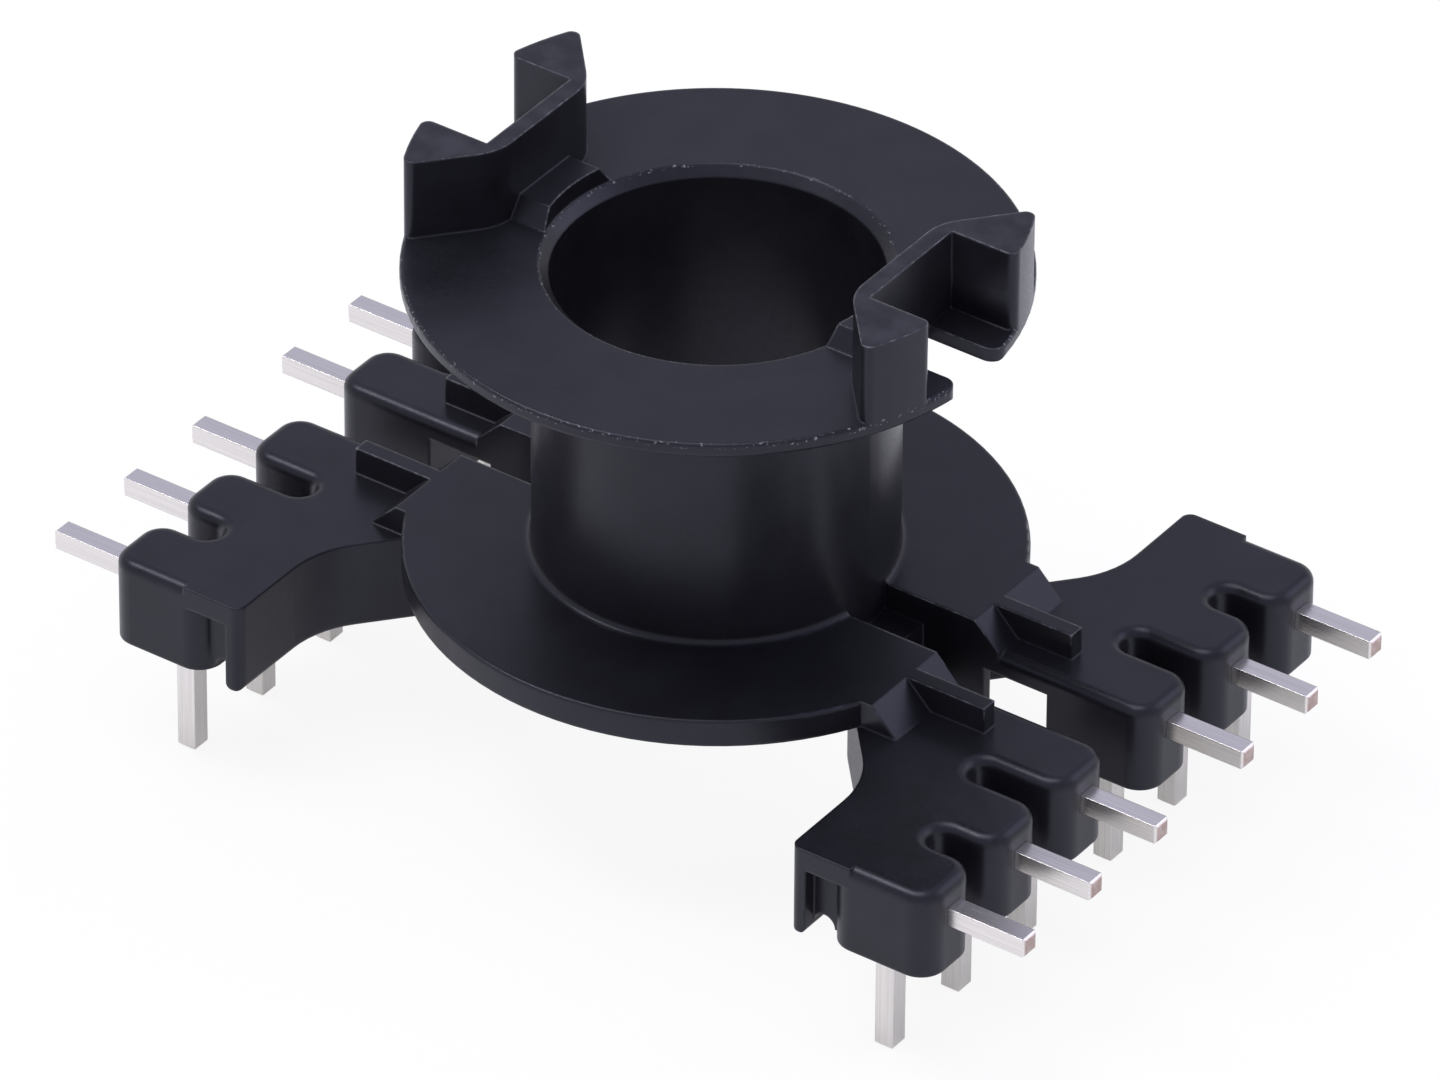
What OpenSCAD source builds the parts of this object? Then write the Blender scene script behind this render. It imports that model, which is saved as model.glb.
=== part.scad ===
// Coil former of a small ferrite-core transformer, with two rows of six bent pins.
// Millimetres. The bore's axis is Z, the pin rows lie at +X and -X, and Z = 0 is at the tips of the legs.

/* [Core fit] */
// Diameter of the bore that takes the core's centre post
bore_d = 11.1; // [10:0.05:12]
// Chamfer at both ends of the bore
bore_chamfer = 0.35; // [0.05:0.05:0.4]
// Distance from the bore's wall to the flat of each V wall, at the waist of the core plate
waist_gap = 1.48; // [1.2:0.02:2]
// Half the length of that flat, before its corners are rounded
waist_half = 2.5; // [2:0.1:2.8]
// Angle between the flanks of the V and the pin rows
flank_angle = 41; // [36:1:45]
// Rounding where the flat meets the flanks
waist_round = 1.8; // [1.2:0.1:2.4]
// Distance from the flange's rim out to the skirt beside the core's leg
leg_gap = 0.68; // [0.3:0.02:1.2]
// Rounding where the flank runs into that skirt
leg_round = 3.5; // [2:0.1:4.5]

/* [Tube and flanges] */
// Wall of the tube
tube_wall = 0.6; // [0.4:0.05:0.8]
// Diameter of both flanges
flange_d = 20.9; // [20:0.1:23]
// Winding width, between the flanges
winding_w = 10.5; // [7:0.1:16]
// Thickness of the upper flange
upper_flange_t = 0.5; // [0.4:0.05:1]
// Thickness of the lower flange
lower_flange_t = 1; // [0.7:0.05:1.4]
// Rounding of the flanges' rims
rim_round = 0.12; // [0.05:0.01:0.18]
// Fillet between tube and flange
foot_fillet = 0.25; // [0.1:0.05:0.4]

/* [Upper walls] */
// Height of the V walls and their horns above the upper flange
wall_h = 3; // [2:0.1:5]
// Thickness of the wall across the waist
wall_t = 0.62; // [0.5:0.02:0.9]
// Clear width between the two horns of a wall
horn_gap = 4.7; // [4.2:0.1:5]
// Rounding of the horns' corners at the rim
horn_round = 0.3; // [0.15:0.05:0.5]
// Width of the wire slot through the upper flange
upper_slot_w = 2.1; // [1.4:0.1:2.8]
// Rounding of the flange's corners at the mouth of that slot
lip_round = 0.5; // [0.3:0.1:1.1]
// Height of the low pad between the bore's rim and the wall
pad_h = 0.7; // [0.4:0.05:1]
// Length of that pad at its foot
pad_length = 3.8; // [3:0.1:4.6]
// Slope of the pad's two ends, measured along the pad
pad_slope = 0.5; // [0.2:0.05:0.8]
// Distance from the bore's wall to the pad
pad_setback = 0.4; // [0.25:0.05:0.6]

/* [Terminal blocks] */
// Height of the skirts, from the board to the top of the blocks
skirt_h = 3.35; // [3.2:0.05:5]
// Thickness of the skirts
skirt_t = 0.6; // [0.5:0.05:0.9]
// Rounding of the skirts' lower edges
skirt_round = 0.22; // [0.1:0.02:0.24]
// Rounding of the corner where a skirt ends, seen from above
corner_round = 0.35; // [0.2:0.05:0.45]
// Thickness of the plate that joins skirt and lobes
plate_t = 0.8; // [0.6:0.05:1]
// Width of the channel between two blocks, and of the slot in the lower flange
channel_w = 2.2; // [1.6:0.1:2.4]
// Thickness of the walls that hang from the plate beside the channel
chute_t = 0.4; // [0.3:0.05:0.6]
// Distance from the flange's rim in to the end of those walls
chute_setback = 0.4; // [0.2:0.05:1]
// Rounding of their lower corner
chute_round = 1; // [0.5:0.1:1.5]
// Width of the tunnel between skirt and lobes
tunnel_w = 0.85; // [0.6:0.05:1.2]
// Depth of the bar of lobes, from the tunnel to the front
bar_depth = 4.02; // [3.8:0.02:4.6]
// Rounding of the bar's corner at the end of the row, below the plate
end_round = 0.9; // [0.5:0.05:1.1]
// Distance from the board up to the lobes
lobe_lift = 0.1; // [0.05:0.05:0.5]
// Gap between neighbouring lobes
lobe_gap = 1.1; // [0.8:0.05:1.4]
// Rounding of the lobes' front corners, seen from above
lobe_round = 0.9; // [0.85:0.05:1.1]
// Fillet along the lobes' upper edges
lobe_fillet = 0.4; // [0.2:0.05:0.42]
// Depth of the gap next to the channel
inner_gap_depth = 3.2; // [2.4:0.05:3.4]
// Depth of the gap next to the end of the row
outer_gap_depth = 2.2; // [1.6:0.05:3]
// Distance from the last pin to the end of the row
end_margin = 1.39; // [1.2:0.01:2]
// Depth of the pocket in the end of the row, as far as the web that closes the tunnel
pocket_depth = 0.5; // [0.4:0.05:1.6]
// Thickness of that web
web_t = 0.6; // [0.4:0.05:0.9]
// Distance from the board up to the arch in the web's lower edge
web_lift = 0.25; // [0.25:0.05:0.8]
// Distance from the rim to the upper edge of the ramp on the lower flange
ramp_inset = 0.8; // [0.5:0.05:1.1]
// Length of the ramp, from the flange down to the block
ramp_run = 1; // [0.6:0.05:1.3]
// Distance from the middle of the channel to the outer end of the ramp
ramp_half = 4.85; // [4:0.05:5.2]
// Thickness of the wire ribs on the blocks
rib_t = 0.6; // [0.4:0.05:0.8]
// Distance from the end of a rib to the gap between the lobes
rib_setback = 0.65; // [0.3:0.05:1.2]

/* [Pins] */
// Side of the square wire
pin_w = 0.7; // [0.5:0.05:0.8]
// Distance between neighbouring pins
pitch = 3.81; // [3.6:0.01:4.2]
// Distance between the two pins beside the channel
centre_gap = 5.08; // [4.8:0.01:5.6]
// Length of the legs below the skirts
leg_below = 4.15; // [2.5:0.05:5]
// Distance from the top of the block down to the middle of the horizontal end
pin_drop = 1.16; // [1:0.02:1.4]
// Distance from the lobes' front face back to the middle of the leg
leg_inset = 2.4; // [2.2:0.05:2.6]
// Length of the horizontal end outside the lobe
pin_out = 3.05; // [2:0.05:4.5]
// Inner radius of the pin's bend
bend_r = 0.35; // [0.2:0.05:0.6]
// Chamfer on both ends of a pin
tip_chamfer = 0.1; // [0.05:0.01:0.2]

/* [Hidden] */
$fn = 72;
ROW = 6;
black = "#33333b";
tin = "#c8c6cd";
// Extra length that carries a cut past the face it opens
over = 1;

bore_r = bore_d / 2;
tube_r = bore_r + tube_wall;
flange_r = flange_d / 2;

seat_z = leg_below;
plate_z = seat_z + skirt_h;
lower_top_z = plate_z + lower_flange_t;
upper_under_z = lower_top_z + winding_w;
upper_top_z = upper_under_z + upper_flange_t;
lobe_z = seat_z + lobe_lift;
lobe_h = plate_z - lobe_z;
pin_z = plate_z - pin_drop;

waist_x = bore_r + waist_gap;
leg_x = flange_r + leg_gap;
// Where the flank of the V would meet the skirt beside the core's leg, without its rounding
leg_y = waist_half + (leg_x - waist_x) / tan(flank_angle);
horn_x = waist_x + wall_t;
ramp_x = flange_r - ramp_inset;
ramp_foot_x = ramp_x + ramp_run;
chute_x = flange_r - chute_setback;
bar_x = leg_x + skirt_t + tunnel_w;
front_x = bar_x + bar_depth;
nose_x = front_x - lobe_round;
leg_centre_x = front_x - leg_inset;
tip_x = front_x + pin_out;

channel_y = channel_w / 2;
row_y = [for (i = [0 : ROW / 2 - 1]) centre_gap / 2 + i * pitch];
block_end_y = row_y[len(row_y) - 1] + end_margin;
gap_y = [for (i = [0 : len(row_y) - 2]) (row_y[i] + row_y[i + 1]) / 2];
gap_depth = [inner_gap_depth, outer_gap_depth];
// Each lobe runs from one gap, or the channel or the row's end, to the next
lobe_from = concat([channel_y], [for (y = gap_y) y + lobe_gap / 2]);
lobe_to = concat([for (y = gap_y) y - lobe_gap / 2], [block_end_y]);

// Place of pin i, counted from the front of the +X row and then along the -X row
function pin_side(i) = i <= ROW ? 1 : -1;
function pin_y(i) = let (k = (i - 1) % ROW) k < ROW / 2 ? -row_y[ROW / 2 - 1 - k] : row_y[k - ROW / 2];

// Repeats its children in all four quarters
module quarters() {
    for (a = [0, 1], b = [0, 1]) mirror([a, 0, 0]) mirror([0, b, 0]) children();
}

// Repeats its children on both pin rows
module both_rows() {
    for (a = [0, 1]) mirror([a, 0, 0]) children();
}

// Corner between two edges that turn by the given angle: what lies between the corner and its arc
module corner_bit(r, turn) {
    run = r * tan(turn / 2);
    difference() {
        polygon([[0, 0], [0, run], [-r, run], [-run * sin(turn), -run * cos(turn)]]);
        translate([-r, run]) circle(r);
    }
}

// Plan of the space kept free for the core, one quarter
module core_quarter() {
    end = block_end_y + over;
    difference() {
        polygon([[0, 0], [waist_x, 0], [waist_x, waist_half], [leg_x, leg_y], [leg_x, end], [0, end]]);
        translate([leg_x, leg_y]) corner_bit(leg_round, flank_angle);
    }
    translate([waist_x, waist_half]) rotate(180) corner_bit(waist_round, flank_angle);
}

// The same plan in all four quarters
module core_space() {
    quarters() core_quarter();
}

// Section between a square corner and the arc that rounds or fills it
module fillet_section(r) {
    difference() {
        square(r);
        translate([r, r]) circle(r);
    }
}

// Section of a skirt, from its core side outwards, with rounded lower edges
module skirt_section() {
    translate([0, skirt_round]) square([skirt_t, skirt_h - skirt_round]);
    translate([skirt_round, 0]) square([skirt_t - 2 * skirt_round, skirt_h]);
    for (x = [skirt_round, skirt_t - skirt_round]) translate([x, skirt_round]) circle(skirt_round);
}

// Rounded upper edge of a lobe: the section from its middle to its outer face
module lobe_section() {
    square([lobe_round, lobe_h - lobe_fillet]);
    square([lobe_round - lobe_fillet, lobe_h]);
    translate([lobe_round - lobe_fillet, lobe_h - lobe_fillet]) circle(lobe_fillet);
}

// Half section of the gap between two lobes, with the rounded lips at its mouth
module gap_section() {
    translate([0, -over]) square([lobe_gap / 2, lobe_h + 2 * over]);
    translate([0, lobe_h]) square([lobe_gap / 2 + lobe_fillet, over]);
    translate([lobe_gap / 2, lobe_h]) mirror([0, 1]) fillet_section(lobe_fillet);
}

module tube() {
    translate([0, 0, plate_z]) cylinder(r = tube_r, h = upper_top_z - plate_z);
}

module lower_flange() {
    slot = [2 * flange_r + over, channel_w, 2 * (lower_flange_t + foot_fillet)];
    difference() {
        rotate_extrude() {
            difference() {
                translate([0, plate_z]) square([flange_r, lower_flange_t]);
                translate([flange_r, lower_top_z]) rotate(180) fillet_section(rim_round);
            }
            translate([tube_r, lower_top_z]) fillet_section(foot_fillet);
        }
        translate([-slot.x / 2, -channel_y, plate_z]) cube(slot);
        both_rows() translate([0, ramp_half, 0]) rotate([90, 0, 0]) linear_extrude(2 * ramp_half)
            polygon([[ramp_x, lower_top_z], [ramp_foot_x, plate_z], [leg_x, plate_z],
                [leg_x, lower_top_z + over], [ramp_x, lower_top_z + over]]);
    }
}

// Half plan of a mouth in the rim, from its middle to the corner that is rounded by r
module rim_mouth(half, r) {
    y = half + r;
    x = sqrt(pow(flange_r - r, 2) - y * y);
    reach = (flange_r + over) / (flange_r - r);
    difference() {
        polygon([[x, 0], [flange_r + over, 0], [x, y] * reach, [x, y]]);
        translate([x, y]) circle(r);
    }
}

// Half plan of the wire slot through the upper flange
module upper_slot() {
    translate([horn_x, 0]) square([flange_r, upper_slot_w / 2]);
    rim_mouth(upper_slot_w / 2, lip_round);
}

module upper_flange() {
    difference() {
        rotate_extrude() {
            difference() {
                translate([0, upper_under_z]) square([flange_r, upper_flange_t]);
                translate([flange_r, upper_top_z]) rotate(180) fillet_section(rim_round);
                translate([flange_r, upper_under_z]) mirror([1, 0]) fillet_section(rim_round);
            }
            translate([tube_r, upper_under_z]) mirror([0, 1]) fillet_section(foot_fillet);
        }
        translate([0, 0, upper_under_z - over]) linear_extrude(upper_flange_t + 2 * over) both_rows() {
            upper_slot();
            mirror([0, 1]) upper_slot();
        }
    }
}

// What the rounding takes off a horn's tip, where its flank meets the rim
module horn_tip() {
    out = [cos(flank_angle), -sin(flank_angle)];
    along = [sin(flank_angle), cos(flank_angle)];
    off = out * [waist_x, waist_half] + horn_round;
    centre = off * out + sqrt(pow(flange_r - horn_round, 2) - off * off) * along;
    foot = centre - horn_round * out;
    beyond = 3 * horn_round * along;
    difference() {
        polygon([foot, foot - over * out, foot - over * out + beyond, foot + beyond,
            centre * (flange_r + over) / (flange_r - horn_round), centre]);
        translate(centre) circle(horn_round);
    }
}

// V-shaped walls on the upper flange, which widen into horns at the rim
module upper_walls() {
    sunk = upper_flange_t / 2;
    translate([0, 0, upper_top_z - sunk]) linear_extrude(wall_h + sunk) difference() {
        circle(flange_r);
        core_space();
        quarters() {
            translate([horn_x, 0]) square([flange_r, horn_gap / 2]);
            rim_mouth(horn_gap / 2, horn_round);
            horn_tip();
        }
    }
}

// Low pads between bore and V wall, with sloping ends, above the upper flange or below the lower one
module pads() {
    both_rows() intersection() {
        rotate([90, 0, 90]) linear_extrude(waist_x + wall_t / 2)
            polygon([[-pad_length / 2, 0], [pad_length / 2, 0],
                [pad_length / 2 - pad_slope, pad_h], [-pad_length / 2 + pad_slope, pad_h]]);
        linear_extrude(pad_h) difference() {
            square([2 * flange_r, pad_length], center = true);
            circle(bore_r + pad_setback);
        }
    }
}

// Straight stretch of skirt along Y, ending at y = to
module skirt_run(to, length) {
    translate([0, to, 0]) rotate([90, 0, 0]) linear_extrude(length) skirt_section();
}

// One quarter of the skirts that keep the windings clear of the core: a section led along the core's plan
module skirt() {
    waist_run = waist_round * tan(flank_angle / 2);
    leg_run = leg_round * tan(flank_angle / 2);
    waist_end = waist_half - waist_run;
    leg_from = leg_y + leg_run;
    flank = (leg_x - waist_x) / sin(flank_angle);
    translate([0, 0, seat_z]) {
        translate([waist_x, 0, 0]) skirt_run(waist_end, waist_end);
        translate([waist_x + waist_round, waist_end, 0]) rotate(180 - flank_angle)
            rotate_extrude(angle = flank_angle) translate([waist_round, 0]) mirror([1, 0]) skirt_section();
        translate([waist_x, waist_half, 0]) rotate(-flank_angle)
            skirt_run(flank - leg_run, flank - leg_run - waist_run);
        translate([leg_x - leg_round, leg_from, 0]) rotate(-flank_angle)
            rotate_extrude(angle = flank_angle) translate([leg_round, 0]) skirt_section();
        translate([leg_x, 0, 0]) skirt_run(block_end_y, block_end_y - leg_from);
    }
}

// What the rounding takes off the corner where skirt and plate end
module end_corner() {
    translate([leg_x, block_end_y, seat_z - over]) linear_extrude(skirt_h + 2 * over)
        mirror([0, 1]) fillet_section(corner_round);
}

// What the rounding takes off the block's upper edge along the channel, from the ramp's foot to the nose
module channel_edge() {
    translate([ramp_foot_x, channel_y, plate_z]) rotate([90, 0, 90]) linear_extrude(nose_x - ramp_foot_x)
        mirror([0, 1]) fillet_section(lobe_fillet);
}

module plate() {
    difference() {
        translate([0, 0, plate_z - plate_t]) linear_extrude(plate_t) difference() {
            translate([waist_x, channel_y]) square([bar_x - waist_x, block_end_y - channel_y]);
            core_space();
        }
        channel_edge();
    }
}

// Wall under the plate beside the channel, from the skirt almost to the flange's rim
module chute_wall() {
    from = waist_x + skirt_t / 2;
    translate([0, channel_y + chute_t, 0]) rotate([90, 0, 0]) linear_extrude(chute_t) difference() {
        translate([from, lobe_z]) square([chute_x - from, lobe_h - plate_t / 2]);
        translate([chute_x, lobe_z]) mirror([1, 0]) fillet_section(chute_round);
    }
}

// Ramp from the lower flange's top down to the plate
module ramp() {
    back = ramp_x - ramp_inset;
    translate([0, ramp_half, 0]) rotate([90, 0, 0]) linear_extrude(ramp_half - channel_y)
        polygon([[back, plate_z], [ramp_foot_x, plate_z], [ramp_x, lower_top_z], [back, lower_top_z]]);
}

module rib() {
    from = ramp_x - ramp_inset;
    to = front_x - inner_gap_depth - rib_setback;
    translate([from, row_y[0] - rib_t / 2, plate_z - plate_t])
        cube([to - from, rib_t, lower_flange_t + plate_t]);
}

// Web across the tunnel near the end of the row, arched below
module end_web() {
    from = leg_x + skirt_t / 2;
    size = [bar_x + end_round - from, skirt_h - web_lift - plate_t / 2];
    translate([0, block_end_y - pocket_depth, seat_z + web_lift]) rotate([90, 0, 0])
        linear_extrude(web_t) difference() {
            translate([from, 0]) square(size);
            translate([bar_x - tunnel_w / 2, 0]) circle(tunnel_w / 2);
        }
}

// Gap between two lobes, round at its inner end
module lobe_slot(depth) {
    run = depth - lobe_gap / 2;
    translate([front_x - run, 0, lobe_z]) {
        rotate_extrude() gap_section();
        rotate([90, 0, 90]) linear_extrude(run + over) {
            gap_section();
            mirror([1, 0]) gap_section();
        }
    }
}

// Rounded front of one lobe
module lobe_nose(from, to) {
    for (y = [from + lobe_round, to - lobe_round])
        translate([nose_x, y, lobe_z]) rotate_extrude() lobe_section();
    translate([nose_x, to - lobe_round, lobe_z]) rotate([90, 0, 0])
        linear_extrude(to - from - 2 * lobe_round) lobe_section();
}

module lobes() {
    difference() {
        translate([bar_x, channel_y, lobe_z]) cube([nose_x - bar_x, block_end_y - channel_y, lobe_h]);
        for (i = [0 : len(gap_y) - 1]) translate([0, gap_y[i], 0]) lobe_slot(gap_depth[i]);
        channel_edge();
        translate([bar_x + end_round, block_end_y, plate_z]) rotate([90, 0, 90]) linear_extrude(bar_depth)
            rotate(180) fillet_section(lobe_fillet);
        translate([bar_x, block_end_y, lobe_z - over]) linear_extrude(lobe_h - plate_t + over)
            mirror([0, 1]) fillet_section(end_round);
    }
    for (i = [0 : len(row_y) - 1]) lobe_nose(lobe_from[i], lobe_to[i]);
}

module block() {
    plate();
    ramp();
    rib();
    end_web();
    chute_wall();
    lobes();
}

module bore_cut() {
    translate([0, 0, plate_z - pad_h - over])
        cylinder(r = bore_r, h = upper_top_z - plate_z + pad_h + 2 * over);
    for (end = [[plate_z, 1], [upper_top_z, -1]])
        translate([0, 0, end[0]]) mirror([0, 0, end[1] < 0 ? 1 : 0])
            cylinder(r1 = bore_r + bore_chamfer, r2 = bore_r, h = bore_chamfer);
}

module coil_former() {
    color(black) difference() {
        union() {
            tube();
            lower_flange();
            upper_flange();
            upper_walls();
            translate([0, 0, upper_top_z]) pads();
            translate([0, 0, plate_z]) mirror([0, 0, 1]) pads();
            quarters() {
                skirt();
                block();
            }
        }
        quarters() end_corner();
        bore_cut();
        for (i = [1 : 2 * ROW]) pin(i);
    }
}

// Straight square wire along X, chamfered at its far end
module wire(length) {
    half = pin_w / 2;
    near = half - tip_chamfer;
    outline = [[0, -half], [length - tip_chamfer, -half], [length, -near],
        [length, near], [length - tip_chamfer, half], [0, half]];
    intersection() {
        translate([0, 0, -half]) linear_extrude(pin_w) polygon(outline);
        rotate([90, 0, 0]) translate([0, 0, -half]) linear_extrude(pin_w) polygon(outline);
    }
}

// One bent pin, on the +X row at y = 0: horizontal end, bend and leg
module bent_pin() {
    centre_x = leg_centre_x + pin_w / 2 + bend_r;
    centre_z = pin_z - pin_w / 2 - bend_r;
    translate([centre_x, 0, pin_z]) wire(tip_x - centre_x);
    translate([leg_centre_x, 0, centre_z]) rotate([0, 90, 0]) wire(centre_z);
    translate([centre_x, 0, centre_z]) rotate([90, 0, 0]) rotate(90)
        rotate_extrude(angle = 90) translate([bend_r, -pin_w / 2]) square(pin_w);
}

module pin(i) {
    color(tin) translate([0, pin_y(i), 0]) mirror([pin_side(i) < 0 ? 1 : 0, 0, 0]) bent_pin();
}

coil_former();
for (i = [1 : 2 * ROW]) pin(i);
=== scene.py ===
import bpy
import numpy as np
from mathutils import Matrix

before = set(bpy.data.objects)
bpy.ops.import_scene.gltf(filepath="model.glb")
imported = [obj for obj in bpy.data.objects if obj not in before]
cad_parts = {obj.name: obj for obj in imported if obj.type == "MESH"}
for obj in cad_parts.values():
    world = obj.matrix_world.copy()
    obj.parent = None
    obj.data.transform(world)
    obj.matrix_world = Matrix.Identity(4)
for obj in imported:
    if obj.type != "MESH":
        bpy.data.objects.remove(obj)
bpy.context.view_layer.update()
mm = 0.001
scene = bpy.context.scene
scene.view_settings.view_transform = "Standard"
print("bobbin: frame loaded,", len(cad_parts), "nodes")

fromEnds, toEnds = ("From Min", "From Max"), ("To Min", "To Max")  # what a span sets on a Map Range


def hexToLinear(code):  # sRGB hex to the linear colour a shader takes
    srgb = np.array([int(code[i:i + 2], 16) for i in (1, 3, 5)]) / 255
    linear = np.where(srgb <= 0.04045, srgb / 12.92, ((srgb + 0.055) / 1.055) ** 2.4)
    return tuple(float(v) for v in linear) + (1.0,)


def addNode(tree, kind, settings=None, links=None):
    # a key is an input's name or number, two names for a span's two ends, or else a property
    node = tree.nodes.new(kind)
    for key, value in (settings or {}).items():
        if isinstance(key, tuple):
            for name, end in zip(key, value):
                node.inputs[name].default_value = end
        elif isinstance(key, int) or key in node.inputs:
            node.inputs[key].default_value = value
        else:
            setattr(node, key, value)
    for key, source in (links or {}).items():
        tree.links.new(source, node.inputs[key])
    return node


def newMaterial(name):
    material = bpy.data.materials.new(name)
    material.use_nodes = True
    material.node_tree.nodes.clear()
    return material, material.node_tree


def aimAt(item, target, turn, lift, away, roll=0.0):
    # turn goes from the front towards +x, lift from the table up, roll about the line of sight;
    # back points from the target to the item, side lies level, and over is square to both
    turn, lift, roll = np.radians([turn, lift, roll])
    back = np.array([np.sin(turn) * np.cos(lift), -np.cos(turn) * np.cos(lift), np.sin(lift)])
    side = np.array([np.cos(turn), np.sin(turn), 0.0])
    over = np.cross(back, side)
    side, over = np.cos(roll) * side + np.sin(roll) * over, np.cos(roll) * over - np.sin(roll) * side
    place = np.eye(4)
    place[:3, 0], place[:3, 1], place[:3, 2] = side, over, back
    place[:3, 3] = np.array(target) + back * away
    scene.collection.objects.link(item)
    item.matrix_world = Matrix(place.tolist())


# camera: a long lens well back, looking down over the right front corner of the bobbin
view = {"turn": 35.014, "lift": 35.249, "roll": 0.432, "away": 516.757 * mm,
        "lookAt": (1.430 * mm, -1.805 * mm, 10.0 * mm),
        "lens": 391.325, "sensor": 36.0, "clip": (0.01, 50.0)}


def makeCamera():
    lens = bpy.data.cameras.new("bobbinCamera")
    lens.sensor_fit, lens.sensor_width, lens.lens = "HORIZONTAL", view["sensor"], view["lens"]
    lens.clip_start, lens.clip_end = view["clip"]
    camera = bpy.data.objects.new("bobbinCamera", lens)
    aimAt(camera, view["lookAt"], view["turn"], view["lift"], view["away"], view["roll"])
    scene.camera = camera


makeCamera()
print("bobbin: camera set")

# studio: a white table in a white light tent, with a softbox overhead, a smaller one to the left
# and a weak cool one behind
studio = {
    "walls": "#ffffff", "ceiling": "#dadaf4", "ceilingFrom": (0.10, 0.50), "roomLight": 0.78,
    "seenWhite": "#ffffff", "seenLight": 1.0,  # what the eye gets of the room and the table
    "table": "#fafafa", "tableSide": 3.0, "tableCells": 4, "tableGap": 0.02 * mm,
    "shadowShare": 0.1, "mirrorShare": 0.7,  # how much of the real paint the eye and a mirror see
    "lampAim": (0.0, 0.0, 12.0 * mm),
    "lamps": {
        "topLamp": {"turn": -40.0, "lift": 80.0, "away": 0.6, "side": 0.34, "watts": 1.1, "tint": "#ffffff"},
        "leftLamp": {"turn": -64.0, "lift": 58.0, "away": 0.6, "side": 0.2, "watts": 0.9, "tint": "#ffffff"},
        "backLamp": {"turn": 140.0, "lift": 32.0, "away": 0.6, "side": 0.4, "watts": 0.6, "tint": "#e6e8ff"}}}


def makeRoom():
    world = bpy.data.worlds.new("whiteRoom")
    world.use_nodes = True
    tree = world.node_tree
    tree.nodes.clear()
    # walls run into a slightly dimmer ceiling, by the height of the direction looked in
    spot = addNode(tree, "ShaderNodeTexCoord").outputs["Generated"]
    axes = addNode(tree, "ShaderNodeSeparateXYZ", links={0: spot})
    up = addNode(tree, "ShaderNodeMapRange", {fromEnds: studio["ceilingFrom"]}, {"Value": axes.outputs["Z"]})
    cloth = addNode(tree, "ShaderNodeMix", {"data_type": "RGBA", 6: hexToLinear(studio["walls"]),
                                            7: hexToLinear(studio["ceiling"])}, {0: up.outputs[0]})
    sky = addNode(tree, "ShaderNodeBackground", {"Strength": studio["roomLight"]}, {"Color": cloth.outputs[2]})
    # straight to the eye it is plain white, as the table is
    path = addNode(tree, "ShaderNodeLightPath")
    white = addNode(tree, "ShaderNodeBackground", {"Color": hexToLinear(studio["seenWhite"]),
                                                   "Strength": studio["seenLight"]})
    room = addNode(tree, "ShaderNodeMixShader", links={0: path.outputs["Is Camera Ray"],
                                                       1: sky.outputs[0], 2: white.outputs[0]})
    addNode(tree, "ShaderNodeOutputWorld", links={"Surface": room.outputs[0]})
    scene.world = world


def makeTable():
    # painted board, dead matt: nearly plain white to the eye, so that it takes only a faint shadow,
    # and partly so in the metal
    material, tree = newMaterial("mattWhiteBoard")
    path = addNode(tree, "ShaderNodeLightPath")
    seen = addNode(tree, "ShaderNodeMath", {"operation": "MAXIMUM"},
                   {0: path.outputs["Is Camera Ray"], 1: path.outputs["Is Transmission Ray"]})
    direct = addNode(tree, "ShaderNodeMath", {"operation": "MULTIPLY", 1: 1.0 - studio["shadowShare"]},
                     {0: seen.outputs[0]})
    mirrored = addNode(tree, "ShaderNodeMath", {"operation": "MULTIPLY", 1: 1.0 - studio["mirrorShare"]},
                       {0: path.outputs["Is Glossy Ray"]})
    share = addNode(tree, "ShaderNodeMath", {"operation": "MAXIMUM"}, {0: direct.outputs[0], 1: mirrored.outputs[0]})
    paint = addNode(tree, "ShaderNodeBsdfDiffuse", {"Color": hexToLinear(studio["table"])})
    glow = addNode(tree, "ShaderNodeEmission", {"Color": hexToLinear(studio["seenWhite"]),
                                                "Strength": studio["seenLight"]})
    both = addNode(tree, "ShaderNodeMixShader", links={0: share.outputs[0], 1: paint.outputs[0], 2: glow.outputs[0]})
    # clear from below, so that the underside of the bobbin can be looked at
    under = addNode(tree, "ShaderNodeNewGeometry").outputs["Backfacing"]
    clear = addNode(tree, "ShaderNodeBsdfTransparent")
    board = addNode(tree, "ShaderNodeMixShader", links={0: under, 1: both.outputs[0], 2: clear.outputs[0]})
    addNode(tree, "ShaderNodeOutputMaterial", links={"Surface": board.outputs[0]})
    # a flat grid: x and y run over the side, z is a hair under the pin feet
    cells = studio["tableCells"]
    side = np.linspace(-0.5, 0.5, cells + 1) * studio["tableSide"]
    x, y = np.meshgrid(side, side, indexing="ij")
    points = np.stack([x, y, 0 * x - studio["tableGap"]], axis=-1).reshape(-1, 3)
    # a cell's corners, counter-clockwise from above: the next row starts cells + 1 points on
    first = np.arange(cells)[:, None] * (cells + 1) + np.arange(cells)[None, :]
    faces = np.stack([first, first + cells + 1, first + cells + 2, first + 1], axis=-1).reshape(-1, 4)
    mesh = bpy.data.meshes.new("table")
    mesh.from_pydata(points.tolist(), [], faces.tolist())
    mesh.materials.append(material)
    table = bpy.data.objects.new("table", mesh)
    scene.collection.objects.link(table)


def makeLamps():
    for name, lamp in studio["lamps"].items():
        light = bpy.data.lights.new(name, "AREA")
        light.shape, light.size = "SQUARE", lamp["side"]
        light.energy, light.color = lamp["watts"], hexToLinear(lamp["tint"])[:3]
        aimAt(bpy.data.objects.new(name, light), studio["lampAim"], lamp["turn"], lamp["lift"], lamp["away"])


makeRoom()
makeTable()
makeLamps()
print("bobbin: studio set")

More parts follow.
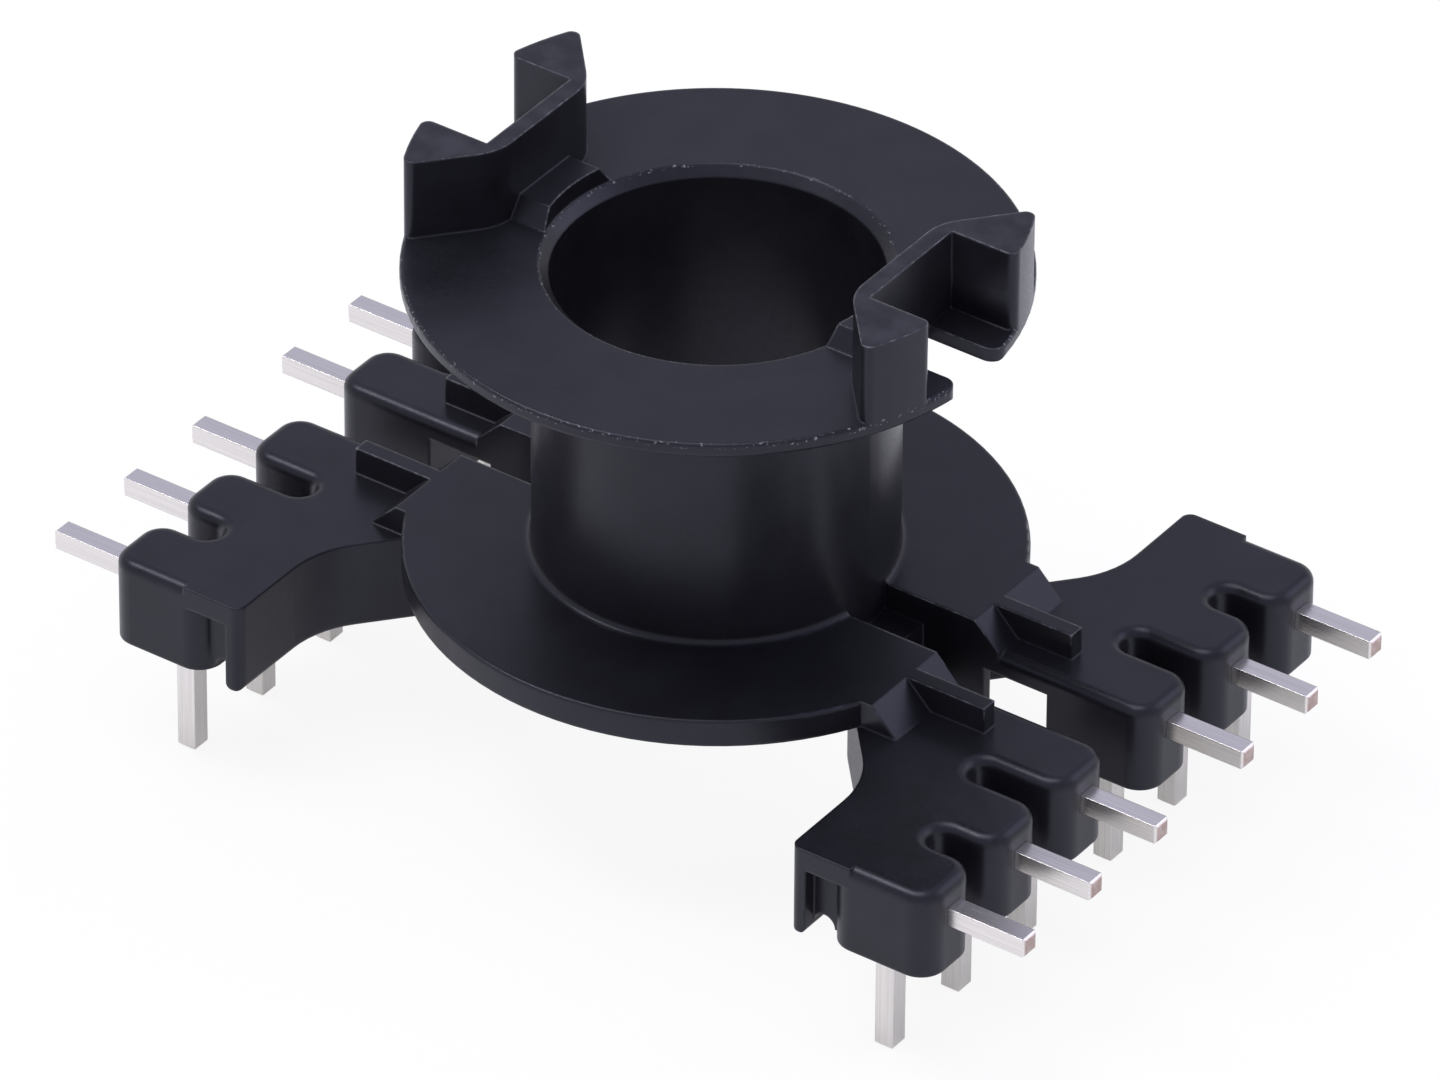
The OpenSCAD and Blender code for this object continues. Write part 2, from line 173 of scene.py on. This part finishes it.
# glass-filled phenolic moulding compound, pressed in a polished steel mould: near black, half matt,
# faintly clouded where the resin flowed, with pale glass ends and paler edges, worn in patches where the flash was
# tumbled off and with a painted edge highlight all along them
phenolic = {
    "ior": 1.5, "specular": 0.36, "sheen": "#ececff", "edgeRound": 0.13 * mm, "roundRays": 10,
    "dark": "#16161a", "pale": "#1b1b20", "cloud": 1.6 * mm, "cloudDetail": 3.0, "cloudSpan": (0.35, 0.65),
    # glass ends: the gap between them, their edge in parts of it, and how strong they are
    "glass": "#26262d", "glassGap": 0.3 * mm, "glassEdge": (0.20, 0.10), "glassShare": (0.0, 0.4),
    # mould grain
    "grain": 0.12 * mm, "grainDetail": 2.0, "grainSpan": (0.3, 0.7), "roughness": (0.28, 0.36),
    "bump": 0.10, "grainHeight": 0.012 * mm,
    # paler edges: worn in patches, with a faint pale line along every edge that is a painted edge highlight; and the
    # height that they start at
    "wornAndSheen": "#a4a4ab", "edgeReach": 0.12 * mm, "edgeRays": 8, "edgeSpan": (0.75, 0.35),
    "paleEdgeFrom": (8.0 * mm, 8.2 * mm), "wearGap": 0.24 * mm, "wearDetail": 4.0, "wearSpan": (0.46, 0.68),
    "wearAndSheenShare": (0.16, 0.75),
    # flash specks on the two round rims
    "rimRadii": (5.88 * mm, 10.40 * mm), "rimBand": 0.06 * mm, "rimHeight": 19.42 * mm, "rimDepth": 0.10 * mm,
    "speckGap": 0.13 * mm, "speckDetail": 2.0, "speckSpan": (0.60, 0.72), "speckShare": (0.0, 0.55),
    # rubbed wall tops
    "rubbed": "#2b2b31", "rubFrom": (22.38 * mm, 22.44 * mm), "rubGap": 0.9 * mm, "rubDetail": 4.0,
    "rubSpan": (0.42, 0.68)}


def makePhenolic():
    material, tree = newMaterial("glassFilledPhenolic")
    spot = addNode(tree, "ShaderNodeTexCoord").outputs["Object"]
    axes = addNode(tree, "ShaderNodeSeparateXYZ", links={0: spot})
    cloud = addNode(tree, "ShaderNodeTexNoise", {"Scale": 1 / phenolic["cloud"], "Detail": phenolic["cloudDetail"]},
                    {"Vector": spot})
    clouds = addNode(tree, "ShaderNodeMapRange", {fromEnds: phenolic["cloudSpan"]}, {"Value": cloud.outputs[0]})
    resin = addNode(tree, "ShaderNodeMix", {"data_type": "RGBA", 6: hexToLinear(phenolic["dark"]),
                                            7: hexToLinear(phenolic["pale"])}, {0: clouds.outputs[0]})
    # pale glass ends: a small dot in each cell
    cells = addNode(tree, "ShaderNodeTexVoronoi", {"Scale": 1 / phenolic["glassGap"]}, {"Vector": spot})
    dots = addNode(tree, "ShaderNodeMapRange", {fromEnds: phenolic["glassEdge"], toEnds: phenolic["glassShare"]},
                   {"Value": cells.outputs["Distance"]})
    glassy = addNode(tree, "ShaderNodeMix", {"data_type": "RGBA", 7: hexToLinear(phenolic["glass"])},
                     {0: dots.outputs[0], 6: resin.outputs[2]})
    # paler edges, where a short ray inside the wall soon comes out again: a faint pale line all along the edge is a
    # painted edge highlight, stronger in patches of real wear
    inside = addNode(tree, "ShaderNodeAmbientOcclusion", {"inside": True, "only_local": True,
                                                          "samples": phenolic["edgeRays"],
                                                          "Distance": phenolic["edgeReach"]})
    edge = addNode(tree, "ShaderNodeMapRange", {fromEnds: phenolic["edgeSpan"]}, {"Value": inside.outputs["AO"]})
    patch = addNode(tree, "ShaderNodeTexNoise", {"Scale": 1 / phenolic["wearGap"], "Detail": phenolic["wearDetail"]},
                    {"Vector": spot})
    wearPatchesAndSheen = addNode(tree, "ShaderNodeMapRange", {fromEnds: phenolic["wearSpan"], toEnds: phenolic["wearAndSheenShare"]},
                      {"Value": patch.outputs[0]})
    chipsAndSheen = addNode(tree, "ShaderNodeMath", {"operation": "MULTIPLY"}, {0: edge.outputs[0], 1: wearPatchesAndSheen.outputs[0]})
    # the thin rims and walls higher up have it, the stout terminal blocks do not
    high = addNode(tree, "ShaderNodeMapRange", {fromEnds: phenolic["paleEdgeFrom"]}, {"Value": axes.outputs["Z"]})
    wearAndSheen = addNode(tree, "ShaderNodeMath", {"operation": "MULTIPLY"}, {0: chipsAndSheen.outputs[0], 1: high.outputs[0]})
    # flash specks on the bore's rim and the upper flange's rim: near either radius, at the top edge, in loose dots
    flat = addNode(tree, "ShaderNodeVectorMath", {"operation": "MULTIPLY", 1: (1.0, 1.0, 0.0)}, {0: spot})
    radius = addNode(tree, "ShaderNodeVectorMath", {"operation": "LENGTH"}, {0: flat.outputs[0]})
    rims = [addNode(tree, "ShaderNodeMath", {"operation": "COMPARE", 1: rim, 2: phenolic["rimBand"]},
                    {0: radius.outputs["Value"]}) for rim in phenolic["rimRadii"]]
    either = addNode(tree, "ShaderNodeMath", {"operation": "MAXIMUM"}, {0: rims[0].outputs[0], 1: rims[1].outputs[0]})
    flange = addNode(tree, "ShaderNodeMath", {"operation": "COMPARE", 1: phenolic["rimHeight"],
                                              2: phenolic["rimDepth"]}, {0: axes.outputs["Z"]})
    dust = addNode(tree, "ShaderNodeTexNoise", {"Scale": 1 / phenolic["speckGap"], "Detail": phenolic["speckDetail"]},
                   {"Vector": spot})
    specks = addNode(tree, "ShaderNodeMapRange", {fromEnds: phenolic["speckSpan"], toEnds: phenolic["speckShare"]},
                     {"Value": dust.outputs[0]})
    rimSpecks = addNode(tree, "ShaderNodeMath", {"operation": "MULTIPLY"}, {0: either.outputs[0], 1: specks.outputs[0]})
    flash = addNode(tree, "ShaderNodeMath", {"operation": "MULTIPLY"}, {0: rimSpecks.outputs[0], 1: flange.outputs[0]})
    pale = addNode(tree, "ShaderNodeMath", {"operation": "MAXIMUM"}, {0: wearAndSheen.outputs[0], 1: flash.outputs[0]})
    # wall tops stand highest, so other parts in the drum have rubbed them in blotches
    top = addNode(tree, "ShaderNodeMapRange", {fromEnds: phenolic["rubFrom"]}, {"Value": axes.outputs["Z"]})
    blotch = addNode(tree, "ShaderNodeTexNoise", {"Scale": 1 / phenolic["rubGap"], "Detail": phenolic["rubDetail"]},
                     {"Vector": spot})
    blotches = addNode(tree, "ShaderNodeMapRange", {fromEnds: phenolic["rubSpan"]}, {"Value": blotch.outputs[0]})
    rub = addNode(tree, "ShaderNodeMath", {"operation": "MULTIPLY"}, {0: top.outputs[0], 1: blotches.outputs[0]})
    rubbed = addNode(tree, "ShaderNodeMix", {"data_type": "RGBA", 7: hexToLinear(phenolic["rubbed"])},
                     {0: rub.outputs[0], 6: glassy.outputs[2]})
    # edges turn paler from wear and flash specks, and from the painted edge highlight along every edge
    colour = addNode(tree, "ShaderNodeMix", {"data_type": "RGBA", 7: hexToLinear(phenolic["wornAndSheen"])},
                     {0: pale.outputs[0], 6: rubbed.outputs[2]})
    # a fine grain from the mould's polish, in the gloss and in the height
    grain = addNode(tree, "ShaderNodeTexNoise", {"Scale": 1 / phenolic["grain"], "Detail": phenolic["grainDetail"]},
                    {"Vector": spot})
    rough = addNode(tree, "ShaderNodeMapRange", {fromEnds: phenolic["grainSpan"], toEnds: phenolic["roughness"]},
                    {"Value": grain.outputs[0]})
    # edges broken in the tumbler: the shading turns over a small radius
    turned = addNode(tree, "ShaderNodeBevel", {"samples": phenolic["roundRays"], "Radius": phenolic["edgeRound"]})
    bump = addNode(tree, "ShaderNodeBump", {"Strength": phenolic["bump"], "Distance": phenolic["grainHeight"]},
                   {"Height": grain.outputs[0], "Normal": turned.outputs[0]})
    skin = addNode(tree, "ShaderNodeBsdfPrincipled", {"IOR": phenolic["ior"],
                                                      "Specular IOR Level": phenolic["specular"],
                                                      "Specular Tint": hexToLinear(phenolic["sheen"])},
                   {"Base Color": colour.outputs[2], "Roughness": rough.outputs[0], "Normal": bump.outputs[0]})
    addNode(tree, "ShaderNodeOutputMaterial", links={"Surface": skin.outputs[0]})
    return material


# square copper wire, drawn and hot tinned: bright grey with fine lines along it, cut ends bare and pink
tinned = {
    "edgeRound": 0.05 * mm, "roundRays": 10, "roughness": (0.28, 0.20),
    # drawing lines along the wire, which turns from the leg into the arm at this height
    "dull": "#dcd8d3", "bright": "#e9e5e0", "lineWidth": 0.05 * mm, "lineLength": 5.0 * mm, "lineDetail": 3.0,
    "armLow": (5.70 * mm, 5.95 * mm), "shadeSpan": (0.35, 0.65), "glossSpan": (0.3, 0.7),
    "bump": 0.02, "lineHeight": 0.006 * mm,
    # cut ends, and how bare they are under the tin that is dragged over them
    "copper": "#a58f88", "armTip": (19.58 * mm, 19.63 * mm), "legTip": (0.10 * mm, 0.04 * mm),
    "smear": 0.25 * mm, "smearDetail": 2.0, "smearSpan": (0.35, 0.60), "bareShare": (0.75, 1.0)}


def makeTinnedCopper():
    material, tree = newMaterial("tinnedCopperWire")
    spot = addNode(tree, "ShaderNodeTexCoord").outputs["Object"]
    axes = addNode(tree, "ShaderNodeSeparateXYZ", links={0: spot})
    # noise that is fine across the wire and long along it: x along the arm, z along the leg
    fine, long = 1 / tinned["lineWidth"], 1 / tinned["lineLength"]
    alongX = addNode(tree, "ShaderNodeMapping", {"Scale": (long, fine, fine)}, {"Vector": spot})
    alongZ = addNode(tree, "ShaderNodeMapping", {"Scale": (fine, fine, long)}, {"Vector": spot})
    armLines, legLines = [addNode(tree, "ShaderNodeTexNoise", {"Scale": 1.0, "Detail": tinned["lineDetail"]},
                                  {"Vector": along.outputs[0]}) for along in (alongX, alongZ)]
    isArm = addNode(tree, "ShaderNodeMapRange", {fromEnds: tinned["armLow"]}, {"Value": axes.outputs["Z"]})
    lines = addNode(tree, "ShaderNodeMix", {"data_type": "FLOAT"},
                    {0: isArm.outputs[0], 2: legLines.outputs[0], 3: armLines.outputs[0]})
    shade = addNode(tree, "ShaderNodeMapRange", {fromEnds: tinned["shadeSpan"]}, {"Value": lines.outputs[0]})
    tin = addNode(tree, "ShaderNodeMix", {"data_type": "RGBA", 6: hexToLinear(tinned["dull"]),
                                          7: hexToLinear(tinned["bright"])}, {0: shade.outputs[0]})
    # cut ends: past the tip distance, and at the leg's foot, with some tin dragged over them
    out = addNode(tree, "ShaderNodeMath", {"operation": "ABSOLUTE"}, {0: axes.outputs["X"]})
    armEnd = addNode(tree, "ShaderNodeMapRange", {fromEnds: tinned["armTip"]}, {"Value": out.outputs[0]})
    legEnd = addNode(tree, "ShaderNodeMapRange", {fromEnds: tinned["legTip"]}, {"Value": axes.outputs["Z"]})
    ends = addNode(tree, "ShaderNodeMath", {"operation": "MAXIMUM"}, {0: armEnd.outputs[0], 1: legEnd.outputs[0]})
    drag = addNode(tree, "ShaderNodeTexNoise", {"Scale": 1 / tinned["smear"], "Detail": tinned["smearDetail"]},
                   {"Vector": spot})
    bare = addNode(tree, "ShaderNodeMapRange", {fromEnds: tinned["smearSpan"], toEnds: tinned["bareShare"]},
                   {"Value": drag.outputs[0]})
    pink = addNode(tree, "ShaderNodeMath", {"operation": "MULTIPLY"}, {0: ends.outputs[0], 1: bare.outputs[0]})
    colour = addNode(tree, "ShaderNodeMix", {"data_type": "RGBA", 7: hexToLinear(tinned["copper"])},
                     {0: pink.outputs[0], 6: tin.outputs[2]})
    rough = addNode(tree, "ShaderNodeMapRange", {fromEnds: tinned["glossSpan"], toEnds: tinned["roughness"]},
                    {"Value": lines.outputs[0]})
    # the wire's edges are rolled round
    turned = addNode(tree, "ShaderNodeBevel", {"samples": tinned["roundRays"], "Radius": tinned["edgeRound"]})
    bump = addNode(tree, "ShaderNodeBump", {"Strength": tinned["bump"], "Distance": tinned["lineHeight"]},
                   {"Height": lines.outputs[0], "Normal": turned.outputs[0]})
    skin = addNode(tree, "ShaderNodeBsdfPrincipled", {"Metallic": 1.0},
                   {"Base Color": colour.outputs[2], "Roughness": rough.outputs[0], "Normal": bump.outputs[0]})
    addNode(tree, "ShaderNodeOutputMaterial", links={"Surface": skin.outputs[0]})
    return material


def dressNodes():
    body, wire = makePhenolic(), makeTinnedCopper()
    for name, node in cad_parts.items():
        isPin = name.startswith("pin_")
        node.data.materials.clear()
        node.data.materials.append(wire if isPin else body)


dressNodes()
print("bobbin: moulding and pins dressed")
